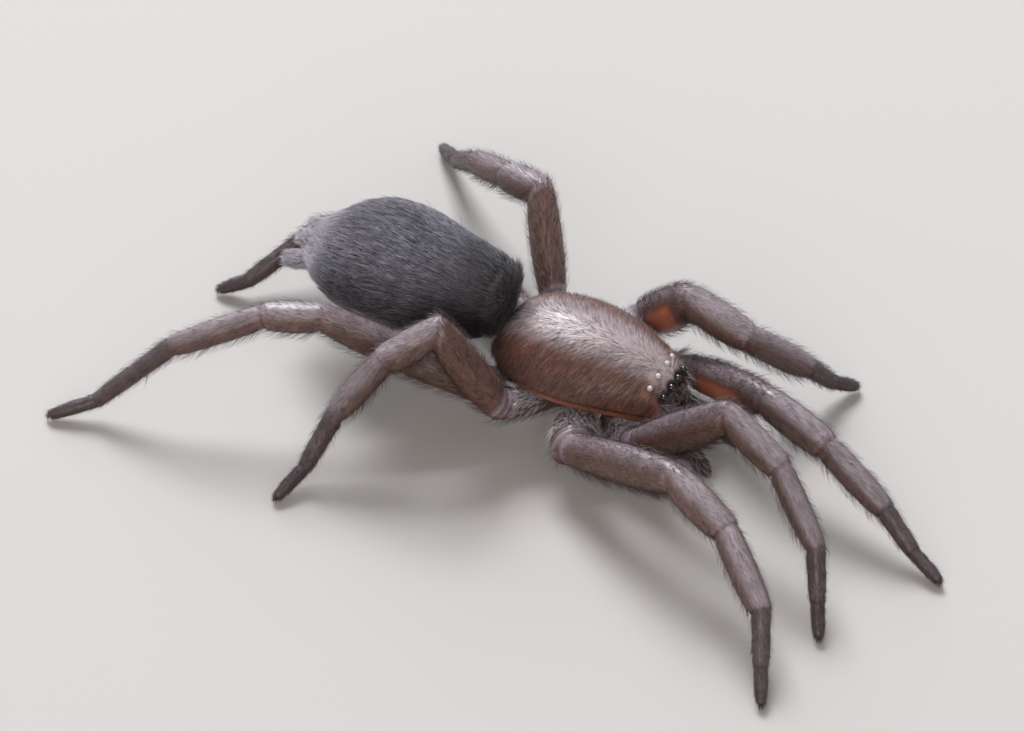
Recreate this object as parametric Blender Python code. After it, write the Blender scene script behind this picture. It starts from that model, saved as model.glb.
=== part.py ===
"""A ground spider standing still on level ground, at life size.

The head faces -Y, the right legs lie towards -X and up is +Z. Sizes are in millimetres of
forward, right and up from a point on the ground under the middle of the head shield, and
place() turns them into metres. The coat of short hair is inside the outline of each solid.
"""
import math

import bmesh
import bpy
from mathutils import Vector

MM = 0.001
UP = Vector((0.0, 0.0, 1.0))
JOINT_GAP = 0.09
EYE_GAP = 0.02
WELD = 0.004
RING_SIDES = 16
FOOT_SIDES = 12
BODY_SIDES = 28

# Head shield: forward, half width, height of the top, of the rim and of the belly plate
SHIELD = (
    (-2.16, 0.48, 1.84, 1.68, 1.46),
    (-1.98, 0.80, 2.14, 1.70, 1.36),
    (-1.58, 1.12, 2.46, 1.73, 1.10),
    (-1.00, 1.31, 2.60, 1.74, 0.86),
    (-0.30, 1.35, 2.62, 1.73, 0.78),
    (0.40, 1.24, 2.55, 1.71, 0.80),
    (1.00, 1.04, 2.41, 1.63, 0.94),
    (1.40, 0.87, 2.24, 1.54, 1.18),
    (1.60, 0.78, 2.12, 1.51, 1.36),
    (1.74, 0.68, 1.98, 1.50, 1.41),
    (1.82, 0.55, 1.86, 1.52, 1.44),
)
SHIELD_RINGS = 24
SHIELD_ROUND = (0.92, 1.08)
DOME_STEPS = 9
RIM_DROP = 0.20
RIM_TUCK = 0.10
# Belly plate: half width, the shield width from which it is full, its flat share and its crown,
# and how far the soft wall above it stands out and down
PLATE_HALF = 0.50
PLATE_FULL_WIDTH = 1.30
PLATE_FLAT = 0.72
PLATE_CROWN = 0.02
PLATE_RISE = 0.40
WALL_OUT = 0.05
WALL_DOWN = 0.06

# Hind body: forward, half width, half height and height of the middle
HIND = (
    (-1.97, 0.42, 0.34, 2.66),
    (-2.12, 0.73, 0.61, 2.63),
    (-2.55, 1.04, 0.91, 2.56),
    (-3.30, 1.30, 1.11, 2.51),
    (-4.30, 1.43, 1.21, 2.47),
    (-5.20, 1.34, 1.15, 2.41),
    (-5.85, 1.05, 0.91, 2.30),
    (-6.20, 0.73, 0.63, 2.19),
    (-6.36, 0.44, 0.38, 2.12),
)
HIND_RINGS = 20
HIND_ROUND = (0.92, 0.96)

# Where each leg leaves the belly plate, and its joints: thigh root, knee, end of the knee
# piece, end of the shin, ankle and toe, with the right side positive
COXA_ROOT = {
    1: (0.76, 0.74, 0.90),
    2: (-0.10, 0.70, 0.98),
    3: (-0.80, 0.68, 0.94),
    4: (-1.52, 0.54, 0.94),
}
LEG_JOINTS = {
    ("right", 1): ((1.45, 1.30, 1.10), (3.52, 1.22, 2.90), (4.80, 1.54, 2.34), (6.04, 2.42, 1.45),
                   (6.36, 2.95, 0.56), (6.66, 3.50, 0.14)),
    ("left", 1): ((1.50, -1.20, 1.06), (3.60, -0.40, 1.90), (5.10, -0.05, 1.60), (6.65, 0.46, 0.98),
                  (7.44, 0.76, 0.42), (8.18, 1.03, 0.14)),
    ("right", 2): ((0.38, 1.92, 1.12), (3.05, 2.66, 2.22), (4.38, 3.12, 1.82), (5.74, 4.28, 1.26),
                   (6.10, 5.00, 0.52), (6.40, 5.60, 0.14)),
    ("left", 2): ((0.08, -1.98, 1.14), (1.22, -1.76, 2.42), (2.57, -1.63, 2.10), (3.67, -2.29, 1.12),
                  (4.04, -2.72, 0.48), (4.40, -3.14, 0.14)),
    ("right", 3): ((-1.40, 1.70, 1.36), (-2.64, 1.98, 3.13), (-3.48, 2.67, 2.56), (-4.14, 3.53, 1.49),
                   (-4.47, 4.25, 0.46), (-4.74, 5.05, 0.14)),
    ("left", 3): ((-1.78, -1.56, 1.28), (-2.84, -3.02, 2.62), (-3.78, -3.38, 2.35), (-4.90, -4.10, 1.60),
                  (-5.72, -4.85, 0.62), (-6.40, -5.50, 0.14)),
    ("right", 4): ((-2.02, 1.32, 1.20), (-5.04, 2.34, 2.76), (-6.16, 2.76, 2.67), (-7.80, 3.71, 1.89),
                   (-9.12, 4.56, 0.48), (-9.96, 5.10, 0.14)),
    ("left", 4): ((-2.22, -1.16, 0.98), (-4.25, -1.86, 1.32), (-5.30, -1.92, 1.42), (-7.02, -1.26, 1.28),
                  (-8.02, 0.10, 0.44), (-8.60, 0.37, 0.14)),
}
# Half width and half depth of each leg piece at its root, its middle and its far end
COXA_SIZE = ((0.27, 0.30), (0.33, 0.34), (0.32, 0.36))
WIDE_COXA_SIZE = ((0.34, 0.34), (0.42, 0.39), (0.42, 0.42))
FEMUR_SIZE = ((0.31, 0.38), (0.38, 0.47), (0.33, 0.38))
PATELLA_SIZE = ((0.33, 0.37), (0.38, 0.39), (0.33, 0.34))
TIBIA_SIZE = ((0.30, 0.32), (0.33, 0.335), (0.27, 0.28))
METATARSUS_SIZE = ((0.25, 0.26), (0.235, 0.235), (0.205, 0.20))
TARSUS_SIZE = ((0.19, 0.19), (0.185, 0.18), (0.13, 0.14))
LEG_SCALE = {1: 1.0, 2: 1.04, 3: 0.96, 4: 0.92}
LEG_RINGS = 6

TIP_SHRINK = 0.62
TIP_REACH = 0.07

# Jaws, feelers and silk tubes on the right side; the left ones mirror them but for the feeler
JAW_JOINTS = ((1.62, 0.25, 1.30), (2.12, 0.25, 0.98), (2.34, 0.21, 0.54))
JAW_SIZE = ((0.19, 0.24), (0.205, 0.26), (0.12, 0.16))
FEELER_JOINTS = {
    "right": ((1.34, 0.50, 0.84), (2.08, 0.72, 1.00), (2.58, 0.76, 0.88), (2.82, 0.68, 0.40)),
    "left": ((1.34, -0.50, 0.80), (2.12, -0.66, 0.66), (2.55, -0.60, 0.50), (2.85, -0.48, 0.24)),
}
FEELER_INNER_SIZE = ((0.15, 0.15), (0.18, 0.18), (0.17, 0.17))
FEELER_OUTER_SIZE = ((0.17, 0.17), (0.18, 0.18), (0.10, 0.11))
SILK_TUBE_JOINTS = ((-6.40, 0.35, 2.04), (-6.98, 0.47, 1.98))
SILK_TUBE_SIZE = ((0.15, 0.15), (0.165, 0.165), (0.11, 0.11))
SILK_MIDDLE_JOINTS = ((-6.40, 0.0, 2.18), (-6.80, 0.0, 2.20))
SILK_MIDDLE_SIZE = ((0.12, 0.20), (0.12, 0.22), (0.08, 0.12))
WAIST_JOINTS = ((-2.19, 0.0, 1.58), (-2.36, 0.0, 1.62))
WAIST_SIZE = ((0.20, 0.12), (0.18, 0.10), (0.18, 0.10))

# Eyes: forward, distance from the middle, height and radius
EYES = {
    "eye_front_middle": (1.74, 0.15, 1.90, 0.085),
    "eye_front_side": (1.71, 0.45, 1.87, 0.070),
    "eye_hind_middle": (1.46, 0.20, 2.14, 0.066),
    "eye_hind_side": (1.42, 0.50, 2.05, 0.064),
}
EYE_SIDES = 10
EYE_RINGS = 7

COLOURS = {
    "shield": (0.105, 0.055, 0.042),
    "hind": (0.045, 0.047, 0.062),
    "limb": (0.120, 0.080, 0.072),
    "foot": (0.055, 0.040, 0.040),
    "jaw": (0.030, 0.018, 0.016),
    "eye": (0.008, 0.008, 0.010),
    "silk": (0.260, 0.240, 0.240),
}


def place(point):
    """Metres in the part's frame from millimetres forward, right and up."""
    return Vector((-point[1], -point[0], point[2])) * MM


def blend(table, at, column):
    """A smooth value of one column of a table of rings, by where along the body it is."""
    rows = sorted(table)
    spot = max(rows[0][0], min(rows[-1][0], at))
    low = 0
    while low < len(rows) - 2 and rows[low + 1][0] < spot:
        low += 1
    start, end = rows[low], rows[low + 1]
    before, after = rows[max(low - 1, 0)], rows[min(low + 2, len(rows) - 1)]
    span = end[0] - start[0]
    share = (spot - start[0]) / span
    slope_in = (end[column] - before[column]) / (end[0] - before[0]) * span
    slope_out = (after[column] - start[column]) / (after[0] - start[0]) * span
    square, cube = share * share, share * share * share
    value = (2 * cube - 3 * square + 1) * start[column] + (cube - 2 * square + share) * slope_in
    return value + (3 * square - 2 * cube) * end[column] + (cube - square) * slope_out


def skin_of_rings(name, rings, kind, rough):
    """A closed body from rings of equal count, each end closed by a fan to its middle."""
    mesh = bpy.data.meshes.new(name)
    shape = bmesh.new()
    rows = [[shape.verts.new(place(point)) for point in ring] for ring in rings]
    count = len(rows[0])
    for first, second in zip(rows, rows[1:]):
        for step in range(count):
            following = (step + 1) % count
            shape.faces.new((first[step], first[following], second[following], second[step]))
    for row in (rows[0], rows[-1]):
        middle = shape.verts.new(sum((vert.co for vert in row), Vector()) / count)
        for step in range(count):
            shape.faces.new((row[step], row[(step + 1) % count], middle))
    bmesh.ops.triangulate(shape, faces=shape.faces[:])
    bmesh.ops.recalc_face_normals(shape, faces=shape.faces[:])
    shape.to_mesh(mesh)
    shape.free()
    piece = bpy.data.objects.new(name, mesh)
    bpy.context.scene.collection.objects.link(piece)
    paint(piece, kind, rough)
    return piece


def paint(piece, kind, rough):
    """Gives a piece a material of its own."""
    material = bpy.data.materials.new(piece.name)
    material.use_nodes = True
    shader = material.node_tree.nodes["Principled BSDF"]
    shader.inputs["Base Color"].default_value = COLOURS[kind] + (1.0,)
    shader.inputs["Roughness"].default_value = rough
    piece.data.materials.clear()
    piece.data.materials.append(material)


def spread(sizes, share):
    """Half width and half depth a share of the way along a piece, from three stations."""
    root, middle, far = sizes
    if share < 0.5:
        bulge = math.sin(share * math.pi)
        return tuple(low + (high - low) * bulge for low, high in zip(root, middle))
    bulge = 1 - math.sin(share * math.pi)
    return tuple(low + (high - low) * bulge for low, high in zip(middle, far))


def limb(name, joints, size_list, kind, rough, scale=1.0, sides=RING_SIDES, before=None, after=None,
         tip=False, gap=JOINT_GAP):
    """A limb piece through its joints, cut at each end half way round the bend to its neighbour."""
    joints = [Vector(joint) for joint in joints]
    ways = [(end - start).normalized() for start, end in zip(joints, joints[1:])]
    first = (ways[0] + (before.normalized() if before else ways[0])).normalized()
    last = (ways[-1] + (after.normalized() if after else ways[-1])).normalized()
    cuts = [first] + [(one + two).normalized() for one, two in zip(ways, ways[1:])] + [last]
    final = len(ways) - 1
    rings = []
    for index, way in enumerate(ways):
        root, end = joints[index], joints[index + 1]
        near_cut, far_cut = cuts[index], cuts[index + 1]
        across = way.cross(UP).normalized()
        rise = across.cross(way)
        near_gap = gap / 2 if index == 0 else 0.0
        far_gap = gap / 2 if index == final else 0.0
        for step in range(min(index, 1), LEG_RINGS):
            share = step / (LEG_RINGS - 1)
            wide, deep = (size * scale for size in spread(size_list[index], share))
            ring = []
            for side in range(sides):
                angle = (side + 0.5) * 2 * math.pi / sides
                offset = across * (math.cos(angle) * wide) + rise * (math.sin(angle) * deep)
                start = (near_gap - offset.dot(near_cut)) / way.dot(near_cut)
                stop = ((end - root).dot(far_cut) - far_gap - offset.dot(far_cut)) / way.dot(far_cut)
                if tip and index == final:
                    stop = (end - root).length
                ring.append(root + offset + way * (start + (stop - start) * share))
            rings.append(ring)
    if tip:
        toe = joints[-1]
        rings.append([toe + (point - toe) * TIP_SHRINK + ways[-1] * TIP_REACH for point in rings[-1]])
    for ring in rings:
        for point in ring:
            point.z = max(point.z, 0.0)
    return skin_of_rings(name, rings, kind, rough)


def shield_ring(at):
    """One ring round the head shield, the soft wall under its rim and the belly plate."""
    wide, top, rim, low = (blend(SHIELD, at, column) for column in (1, 2, 3, 4))
    plate = PLATE_HALF * min(1.0, wide / PLATE_FULL_WIDTH)
    under = rim - RIM_DROP
    half = [(0.0, top)]
    for step in range(1, DOME_STEPS):
        angle = math.pi / 2 * (1 - step / (DOME_STEPS - 1))
        side = wide * math.cos(angle) ** SHIELD_ROUND[0]
        half.append((side, rim + (top - rim) * math.sin(angle) ** SHIELD_ROUND[1]))
    half.append((wide - RIM_TUCK, under))
    half.append((plate + WALL_OUT, max(under - WALL_DOWN, low + 2 * PLATE_CROWN)))
    half.append((plate, max(low + (under - low) * PLATE_RISE, low + 1.5 * PLATE_CROWN)))
    half.append((plate * PLATE_FLAT, low + PLATE_CROWN))
    right = [(at, side, height) for side, height in half]
    left = [(at, -side, height) for side, height in reversed(half[1:])]
    return right + [(at, 0.0, low)] + left


def build_shield():
    """The head shield with the belly plate, and a socket for each eye."""
    start, end = SHIELD[0][0], SHIELD[-1][0]
    rings = []
    for step in range(SHIELD_RINGS):
        share = 0.5 - 0.5 * math.cos(math.pi * step / (SHIELD_RINGS - 1))
        rings.append(shield_ring(start + (end - start) * share))
    piece = skin_of_rings("cephalothorax", rings, "shield", 0.45)
    sockets = bpy.data.collections.new("sockets")
    bpy.context.scene.collection.children.link(sockets)
    for name, (forward, side, height, radius) in EYES.items():
        for way in (-1, 1):
            hole = ball("hole_" + name, (forward, side * way, height), radius + EYE_GAP)
            bpy.context.scene.collection.objects.unlink(hole)
            sockets.objects.link(hole)
    cut = piece.modifiers.new("sockets", "BOOLEAN")
    cut.operation = "DIFFERENCE"
    cut.operand_type = "COLLECTION"
    cut.collection = sockets
    cut.solver = "MANIFOLD"
    apply_modifiers(piece)
    for hole in list(sockets.objects):
        bpy.data.objects.remove(hole, do_unlink=True)
    bpy.data.collections.remove(sockets)
    return piece


def apply_modifiers(piece):
    """Puts the modified shape of a piece in place of its mesh."""
    graph = bpy.context.evaluated_depsgraph_get()
    shaped = bpy.data.meshes.new_from_object(piece.evaluated_get(graph))
    piece.modifiers.clear()
    piece.data = shaped
    shape = bmesh.new()
    shape.from_mesh(shaped)
    bmesh.ops.remove_doubles(shape, verts=shape.verts[:], dist=WELD * MM)
    bmesh.ops.dissolve_degenerate(shape, edges=shape.edges[:], dist=WELD * MM)
    bmesh.ops.triangulate(shape, faces=shape.faces[:])
    shape.to_mesh(shaped)
    shape.free()
    paint(piece, "shield", 0.45)


def ball(name, centre, radius):
    """A closed ball with its pole facing up."""
    rings = []
    for step in range(1, EYE_RINGS):
        tilt = math.pi * step / EYE_RINGS
        ring = []
        for side in range(EYE_SIDES):
            angle = 2 * math.pi * side / EYE_SIDES
            ring.append((centre[0] + radius * math.sin(tilt) * math.cos(angle),
                         centre[1] + radius * math.sin(tilt) * math.sin(angle),
                         centre[2] + radius * math.cos(tilt)))
        rings.append(ring)
    return skin_of_rings(name, rings, "eye", 0.12)


def build_hind():
    """The hind body, a little flatter above than below."""
    start, end = HIND[0][0], HIND[-1][0]
    rings = []
    for step in range(HIND_RINGS):
        share = 0.5 - 0.5 * math.cos(math.pi * step / (HIND_RINGS - 1))
        at = start + (end - start) * share
        wide, high, middle = (blend(HIND, at, column) for column in (1, 2, 3))
        ring = []
        for side in range(BODY_SIDES):
            angle = 2 * math.pi * (side + 0.5) / BODY_SIDES
            across = math.copysign(abs(math.cos(angle)) ** HIND_ROUND[0], math.cos(angle))
            rise = math.copysign(abs(math.sin(angle)) ** HIND_ROUND[1], math.sin(angle))
            ring.append((at, wide * across, middle + high * rise))
        rings.append(ring)
    return skin_of_rings("abdomen", rings, "hind", 0.7)


def build_leg(side, number):
    """The five pieces of one leg, from the hip to the foot."""
    way = 1 if side == "right" else -1
    scale = LEG_SCALE[number]
    forward, out, height = COXA_ROOT[number]
    joints = [Vector((forward, out * way, height))]
    joints += [Vector(joint) for joint in LEG_JOINTS[(side, number)]]
    ways = [end - start for start, end in zip(joints, joints[1:])]
    hip_size = WIDE_COXA_SIZE if number == 2 else COXA_SIZE
    pieces = (("coxa", hip_size), ("femur", FEMUR_SIZE), ("patella", PATELLA_SIZE), ("tibia", TIBIA_SIZE))
    for index, (piece, size) in enumerate(pieces):
        limb("leg%d_%s_%s" % (number, piece, side), joints[index:index + 2], [size], "limb", 0.6, scale,
             before=ways[index - 1] if index else None, after=ways[index + 1])
    limb("leg%d_foot_%s" % (number, side), joints[4:7], [METATARSUS_SIZE, TARSUS_SIZE], "foot", 0.6,
         sides=FOOT_SIDES, before=ways[3], tip=True)


def mirrored(joints, way):
    """Joints of the right side, or their mirror image."""
    return [(forward, side * way, height) for forward, side, height in joints]


def build_small_parts():
    """Jaws, feelers, waist, silk tubes and eyes."""
    for side, way in (("right", 1), ("left", -1)):
        limb("chelicera_" + side, mirrored(JAW_JOINTS, way), [JAW_SIZE, JAW_SIZE[1:] + JAW_SIZE[2:]], "jaw",
             0.35, sides=FOOT_SIDES, before=-UP, tip=True)
        feeler = [Vector(joint) for joint in FEELER_JOINTS[side]]
        ways = [end - start for start, end in zip(feeler, feeler[1:])]
        limb("pedipalp_inner_" + side, feeler[0:2], [FEELER_INNER_SIZE], "limb", 0.6, sides=FOOT_SIDES,
             after=ways[1])
        limb("pedipalp_outer_" + side, feeler[1:4], [FEELER_INNER_SIZE[1:] + FEELER_INNER_SIZE[2:],
             FEELER_OUTER_SIZE], "limb", 0.6, sides=FOOT_SIDES, before=ways[0], tip=True)
        limb("spinneret_" + side, mirrored(SILK_TUBE_JOINTS, way), [SILK_TUBE_SIZE], "silk", 0.6,
             sides=FOOT_SIDES, tip=True)
        for name, (forward, out, height, radius) in EYES.items():
            ball(name + "_" + side, (forward, out * way, height), radius)
    limb("spinneret_middle", SILK_MIDDLE_JOINTS, [SILK_MIDDLE_SIZE], "silk", 0.6, sides=FOOT_SIDES,
         tip=True)
    limb("pedicel", WAIST_JOINTS, [WAIST_SIZE], "shield", 0.5, sides=FOOT_SIDES, gap=0.0)


def centre_on_ground():
    """Moves the whole spider so that the middle of its box lies over the origin."""
    pieces = list(bpy.context.scene.collection.objects)
    spots = [vert.co for piece in pieces for vert in piece.data.vertices]
    middle = Vector((sum((min(spot[0] for spot in spots), max(spot[0] for spot in spots))) / 2,
                     sum((min(spot[1] for spot in spots), max(spot[1] for spot in spots))) / 2,
                     min(spot[2] for spot in spots)))
    for piece in pieces:
        for vert in piece.data.vertices:
            vert.co = vert.co - middle


for old in list(bpy.data.objects):
    bpy.data.objects.remove(old, do_unlink=True)

build_shield()
build_hind()
for number in COXA_ROOT:
    for side in ("right", "left"):
        build_leg(side, number)
build_small_parts()
centre_on_ground()
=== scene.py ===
import math

import bmesh
import bpy
import numpy as np
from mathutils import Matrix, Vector


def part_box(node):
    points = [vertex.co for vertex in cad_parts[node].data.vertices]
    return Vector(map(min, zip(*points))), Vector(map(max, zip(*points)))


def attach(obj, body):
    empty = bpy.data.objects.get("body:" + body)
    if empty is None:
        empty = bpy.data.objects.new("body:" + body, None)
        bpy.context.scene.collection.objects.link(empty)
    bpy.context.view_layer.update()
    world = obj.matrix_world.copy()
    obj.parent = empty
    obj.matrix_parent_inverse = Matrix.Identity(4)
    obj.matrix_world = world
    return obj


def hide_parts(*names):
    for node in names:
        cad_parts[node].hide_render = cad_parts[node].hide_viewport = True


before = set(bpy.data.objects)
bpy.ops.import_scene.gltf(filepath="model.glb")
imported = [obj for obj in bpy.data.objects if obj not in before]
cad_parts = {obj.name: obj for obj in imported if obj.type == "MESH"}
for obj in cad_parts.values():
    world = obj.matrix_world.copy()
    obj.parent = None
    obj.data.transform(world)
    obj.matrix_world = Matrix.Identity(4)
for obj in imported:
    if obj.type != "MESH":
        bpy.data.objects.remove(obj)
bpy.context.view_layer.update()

# Head shield: one domed plate of hard brown shell with a fine dark rim. Below the rim a strip of
# soft orange-brown skin joins it to the belly plate, and both grow as one closed form here. Sizes
# are millimetres forward, right and up from the ground under the middle of the shield.
# Forward, right, up and radius of each right lens; the left one is its mirror image
EYES = {
    "eye_front_middle": (1.74, 0.15, 1.90, 0.085),
    "eye_front_side": (1.71, 0.45, 1.87, 0.070),
    "eye_hind_middle": (1.46, 0.20, 2.14, 0.066),
    "eye_hind_side": (1.42, 0.50, 2.05, 0.064),
}
MM = 0.001
middle = np.mean([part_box("eye_hind_middle_" + side) for side in ("left", "right")], axis=(0, 1))
home = Vector((middle[0], middle[1] + EYES["eye_hind_middle"][0] * MM, 0.0))


def spot(forward, right, up):
    """A point of the spider in the frame, in metres."""
    return home + Vector((-right, -forward, up)) * MM


def tone(code):
    """A linear colour from an sRGB hex value."""
    parts = [int(code[at:at + 2], 16) / 255 for at in (1, 3, 5)]
    return np.array([part / 12.92 if part <= 0.04045 else ((part + 0.055) / 1.055) ** 2.4 for part in parts])


def step_up(value, low, high):
    """0 below low, 1 above high and smooth between them."""
    share = np.clip((value - low) / (high - low), 0.0, 1.0)
    return share * share * (3 - 2 * share)


def mixed(first, second, share):
    """Rows of colour between two colours."""
    share = np.asarray(share)[:, None]
    return first * (1 - share) + second * share


def read_table(table, at, column):
    """A smooth value of one column of a table of rings."""
    rows = sorted(table)
    places = np.array([row[0] for row in rows])
    values = np.array([row[column] for row in rows])
    slopes = np.gradient(values, places)
    low = int(np.clip(np.searchsorted(places, at) - 1, 0, len(rows) - 2))
    span = places[low + 1] - places[low]
    share = float(np.clip((at - places[low]) / span, 0.0, 1.0))
    square, cube = share ** 2, share ** 3
    start = (2 * cube - 3 * square + 1) * values[low] + (cube - 2 * square + share) * slopes[low] * span
    return start + (3 * square - 2 * cube) * values[low + 1] + (cube - square) * slopes[low + 1] * span


NOTES = ("along", "round", "front", "turn")


def loft(rings):
    """A closed form drawn out ring by ring. Each ring is a list of (place, along, round, front, flow)."""
    shape = bmesh.new()
    notes = {name: shape.verts.layers.float.new(name) for name in NOTES}
    flows = shape.verts.layers.float_vector.new("flow")
    sides = len(rings[0])
    loop = bmesh.ops.create_circle(shape, segments=sides, radius=1.0)["verts"]
    ends, order = [], []
    for number, ring in enumerate(rings):
        if number:
            edges = [shape.edges.get((loop[side - 1], loop[side])) for side in range(sides)]
            made = bmesh.ops.extrude_edge_only(shape, edges=edges)["geom"]
            fresh = {part for part in made if isinstance(part, bmesh.types.BMVert)}
            loop = [next(edge.other_vert(vert) for edge in vert.link_edges if edge.other_vert(vert) in fresh)
                    for vert in loop]
        for side, (vert, (place, along, rounded, front, flow)) in enumerate(zip(loop, ring)):
            vert.co = place
            vert[notes["along"]], vert[notes["round"]], vert[notes["front"]] = along, rounded, front
            vert[notes["turn"]] = side / sides
            vert[flows] = flow
        order += loop
        if number in (0, len(rings) - 1):
            ends.append([shape.edges.get((loop[side - 1], loop[side])) for side in range(sides)])
    for edges in ends:
        bmesh.ops.contextual_create(shape, geom=edges)
    bmesh.ops.recalc_face_normals(shape, faces=shape.faces[:])
    # The operators number new parts in no fixed order, and hair is laid by these numbers
    for index, vert in enumerate(order):
        vert.index = index
    shape.verts.sort()
    corners = {face: [vert.index for vert in face.verts] for face in shape.faces}
    shape.faces.sort(key=lambda face: min(corners[face]) * len(order) + max(corners[face]))
    return shape


def placed(name, data):
    """A new object, at the origin and unturned."""
    thing = bpy.data.objects.new(name, data)
    bpy.context.scene.collection.objects.link(thing)
    return thing


def solid_piece(name, shape, material):
    """Turns a shape into an object of one material."""
    mesh = bpy.data.meshes.new(name)
    shape.to_mesh(mesh)
    shape.free()
    mesh.shade_smooth()
    mesh.materials.append(material)
    return placed(name, mesh)


def rows_of(items, key, wide=3, kind=float):
    """One value, or a row of three, for each item of a mesh."""
    rows = np.empty(len(items) * wide, dtype=kind)
    items.foreach_get(key, rows)
    return rows.reshape(-1, wide) if wide > 1 else rows


def toned_piece(name, shape, material, colours):
    """Turns a shape into a piece, with its colours as the attribute tone."""
    piece = solid_piece(name, shape, material)
    mesh = piece.data
    values = {note: rows_of(mesh.attributes[note].data, "value", 1) for note in NOTES}
    values["place"] = rows_of(mesh.vertices, "co")
    rows = np.ones((len(mesh.vertices), 4))
    rows[:, :3] = colours(values)
    mesh.attributes.new("tone", "FLOAT_COLOR", "POINT").data.foreach_set("color", rows.ravel())
    return piece


def node(tree, kind, inputs=None, links=None, **settings):
    """Adds a shader node with its settings, values and links."""
    new = tree.nodes.new("ShaderNode" + kind)
    for key, value in settings.items():
        setattr(new, key, value)
    for key, value in (inputs or {}).items():
        new.inputs[key].default_value = value
    for key, source in (links or {}).items():
        tree.links.new(source, new.inputs[key])
    return new


def plain_material(name, values):
    """A new material with values on its shader's own sockets."""
    material = bpy.data.materials.new(name)
    material.use_nodes = True
    for key, value in values.items():
        material.node_tree.nodes["Principled BSDF"].inputs[key].default_value = value
    return material


def painted_material(name, cloud_size, detail, amount, values):
    """A material in the colours of the attribute tone, lightened and darkened in soft clouds."""
    material = plain_material(name, values)
    tree = material.node_tree
    where = node(tree, "TexCoord").outputs["Object"]
    painted = node(tree, "Attribute", attribute_name="tone").outputs["Color"]
    cloud = node(tree, "TexNoise", {"Scale": 1 / MM / cloud_size, "Detail": detail}, {"Vector": where})
    spread = {"From Min": 0.3, "From Max": 0.7, "To Min": 1 - amount, "To Max": 1 + amount}
    level = node(tree, "MapRange", spread, {"Value": cloud.outputs["Fac"]})
    shaded = node(tree, "VectorMath", links={0: painted, 1: level.outputs["Result"]}, operation="MULTIPLY")
    tree.links.new(shaded.outputs["Vector"], tree.nodes["Principled BSDF"].inputs["Base Color"])
    return material, where, cloud.outputs["Fac"]


def shell_material(name, rough, mottle, grain, depth, specular=0.5, rough_spread=0.08):
    """Shell or skin: mottled, over a fine bump. The size and depth of its grain are millimetres."""
    material, where, cloud = painted_material(name, cloud_size=0.35, detail=4.0, amount=mottle,
                                              values={"Specular IOR Level": specular})
    tree = material.node_tree
    shader = tree.nodes["Principled BSDF"]
    pits = node(tree, "TexNoise", {"Scale": 1 / MM / grain, "Detail": 3.0}, {"Vector": where}).outputs["Fac"]
    bump = node(tree, "Bump", {"Strength": 0.6, "Distance": depth * MM}, {"Height": pits})
    tree.links.new(bump.outputs["Normal"], shader.inputs["Normal"])
    limits = {"To Min": rough - rough_spread, "To Max": rough + rough_spread}
    uneven = node(tree, "MapRange", limits, {"Value": cloud})
    tree.links.new(uneven.outputs["Result"], shader.inputs["Roughness"])
    return material


# Tanned cuticle, smooth and slightly waxy: gives soft broad highlights between the hairs
cuticle = shell_material("cuticle_brown", rough=0.34, mottle=0.14, grain=0.05, depth=0.002, specular=0.6)

# Forward, half width and the heights of the top, the rim and the belly plate
SHIELD_RINGS = (
    (-2.13, 0.30, 1.78, 1.67, 1.52),
    (-2.10, 0.48, 1.86, 1.68, 1.48),
    (-1.94, 0.78, 2.12, 1.70, 1.39),
    (-1.56, 1.09, 2.42, 1.73, 1.14),
    (-1.00, 1.28, 2.565, 1.74, 0.90),
    (-0.30, 1.32, 2.585, 1.73, 0.82),
    (0.40, 1.21, 2.515, 1.71, 0.84),
    (1.00, 1.01, 2.375, 1.63, 0.98),
    (1.40, 0.84, 2.205, 1.54, 1.20),
    (1.60, 0.745, 2.085, 1.51, 1.37),
    (1.72, 0.66, 1.975, 1.50, 1.42),
    (1.78, 0.52, 1.86, 1.53, 1.46),
    (1.80, 0.34, 1.78, 1.57, 1.50),
)
SHIELD_STEPS = 72
DOME_STEPS = 26
# Powers that turn an ellipse into the dome's fuller curve
SIDE_POWER, TOP_POWER = 0.92, 1.08
PLATE_HALF, PLATE_FULL_WIDTH = 0.48, 1.27
PLATE_LIP, PLATE_LEAST, PLATE_EDGE, PLATE_FLAT, PLATE_CURVE = 0.06, 0.04, 0.45, 0.72, 0.02
# A short groove on the crest, and the faint rays that run out from it
GROOVE_AT, GROOVE_DEPTH, GROOVE_LENGTH, GROOVE_WIDTH = -0.85, 0.02, 0.22, 0.04
RAY_COUNT, RAY_DEPTH = 6, 0.010
# How the hair lies: how soon it turns outward, and its shares backward and downward
LIE_TURN, LIE_BACK, LIE_DOWN = 2.2, 0.5, 0.6
# Steps down from the rim: how far in, how far down and their mark round the body
RIM_STEPS = ((-0.015, 0.0, 0.0), (0.0, 0.022, -0.02), (0.035, 0.034, -0.1), (0.025, 0.10, -0.25),
             (0.035, 0.18, -0.4), (0.09, 0.25, -0.5))
BACKWARD = Vector((0.0, 1.0, 0.0))
BROWN_SHELL, DARK_FLANK, GREY_SHEEN_TOP = tone("#6b463b"), tone("#774b3d"), tone("#988c90")
RIM_LINE, ORANGE_SKIN, BELLY_BROWN = tone("#2c1712"), tone("#94583c"), tone("#5c3a30")
EYE_PATCH, RED_FACE = tone("#0b0707"), tone("#331a15")


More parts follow.
